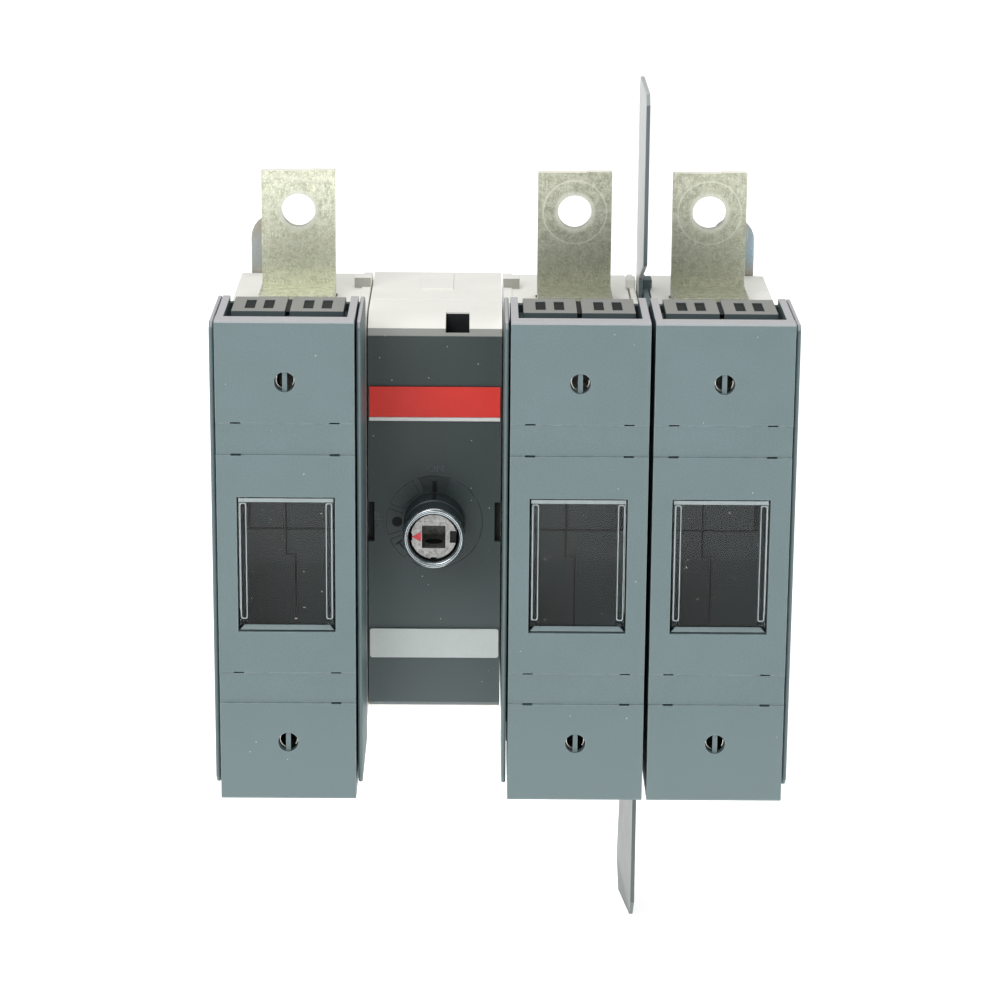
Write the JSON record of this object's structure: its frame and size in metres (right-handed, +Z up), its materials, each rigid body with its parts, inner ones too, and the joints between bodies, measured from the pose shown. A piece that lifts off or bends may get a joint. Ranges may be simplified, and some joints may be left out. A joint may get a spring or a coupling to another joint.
{
  "type": "fused disconnect switch",
  "caption": "Panel-mounted rotary switch-disconnector with hinged fuse covers, clear windows, bolted terminal lugs and a square shaft socket.",
  "frame": {"origin": "on the mounting plane, on the axis of the operating shaft", "axes": "+X to the right, +Y into the mounting panel, +Z up, towards the upper terminals"},
  "size_m": [0.1476, 0.1, 0.2305],
  "materials": {
    "cover_grey": "fine matt moulding",
    "compartment_charcoal": "satin moulding",
    "base_cream": "satin moulding",
    "window_clear": "clear, a few scratches",
    "plated_metal": "yellowish zinc plating with rubbed marks",
    "rail_steel": "zinc plated",
    "silvered_contact": "silver plated copper",
    "rotor_resin": "moulded resin",
    "cast_alloy": "rough cast",
    "ring_chrome": "bright plating",
    "strip_red": "satin print",
    "strip_light": "satin",
    "barrier_sheet": "thin sheet",
    "spring_steel": "drawn wire"
  },
  "bodies": {
    "switch_body": {"pole_base_1": "base_cream", "pole_housing_1": "compartment_charcoal", "arc_vent_top_1": "cover_grey", "arc_vent_bottom_1": "cover_grey", "terminal_top_1": "plated_metal", "terminal_bottom_1": "plated_metal", "fuse_jaw_top_1": "silvered_contact", "fuse_jaw_bottom_1": "silvered_contact", "pole_base_2": "base_cream", "pole_housing_2": "compartment_charcoal", "arc_vent_top_2": "cover_grey", "arc_vent_bottom_2": "cover_grey", "terminal_top_2": "plated_metal", "terminal_bottom_2": "plated_metal", "fuse_jaw_top_2": "silvered_contact", "fuse_jaw_bottom_2": "silvered_contact", "pole_base_3": "base_cream", "pole_housing_3": "compartment_charcoal", "arc_vent_top_3": "cover_grey", "arc_vent_bottom_3": "cover_grey", "terminal_top_3": "plated_metal", "terminal_bottom_3": "plated_metal", "fuse_jaw_top_3": "silvered_contact", "fuse_jaw_bottom_3": "silvered_contact", "side_plate_1_left": "cover_grey", "side_plate_1_right": "cover_grey", "side_plate_2_left": "cover_grey", "side_plate_3_right": "cover_grey", "guide_plate_3": "cover_grey", "guide_plate_2": "base_cream", "mounting_rail_left": "rail_steel", "mounting_rail_right": "rail_steel", "phase_barrier_top": "barrier_sheet", "phase_barrier_bottom": "barrier_sheet", "mechanism_base": "base_cream", "mechanism_front": "compartment_charcoal", "shaft_collar": "compartment_charcoal", "red_strip": "strip_red", "marking_strip": "strip_light", "collar_ring": "ring_chrome", "snap_spring": "spring_steel"},
    "cover_1": {"fuse_cover_1": "cover_grey", "cover_window_1": "window_clear"},
    "cover_2": {"fuse_cover_2": "cover_grey", "cover_window_2": "window_clear"},
    "cover_3": {"fuse_cover_3": "cover_grey", "cover_window_3": "window_clear"},
    "drive": {"drive_shaft": "cast_alloy", "drive_bevel": "cast_alloy"},
    "contact_roller": {"cross_shaft": "cast_alloy", "cross_bevel": "cast_alloy", "rotor_1": "rotor_resin", "rotor_contact_front_1": "silvered_contact", "rotor_contact_rear_1": "silvered_contact", "rotor_2": "rotor_resin", "rotor_contact_front_2": "silvered_contact", "rotor_contact_rear_2": "silvered_contact", "rotor_3": "rotor_resin", "rotor_contact_front_3": "silvered_contact", "rotor_contact_rear_3": "silvered_contact"}
  },
  "joints": [
    {"name": "shaft_turn", "type": "hinge", "parent": "switch_body", "child": "drive", "pos_m": [0, -0.06, 0], "axis": [0, 1, 0], "range_deg": [-45, 90]},
    {"name": "roller_turn", "type": "hinge", "parent": "switch_body", "child": "contact_roller", "pos_m": [0, -0.038, 0], "axis": [1, 0, 0], "range_deg": [-45, 90]},
    {"name": "cover_1_open", "type": "hinge", "parent": "switch_body", "child": "cover_1", "pos_m": [-0.0369, -0.075, -0.0555], "axis": [1, 0, 0], "range_deg": [0, 95]},
    {"name": "cover_2_open", "type": "hinge", "parent": "switch_body", "child": "cover_2", "pos_m": [0.0369, -0.075, -0.0555], "axis": [1, 0, 0], "range_deg": [0, 95]},
    {"name": "cover_3_open", "type": "hinge", "parent": "switch_body", "child": "cover_3", "pos_m": [0.0729, -0.075, -0.0555], "axis": [1, 0, 0], "range_deg": [0, 95]}
  ],
  "couplings": [
    {"joint": "roller_turn", "follows": "shaft_turn", "ratio": 1}
  ]
}
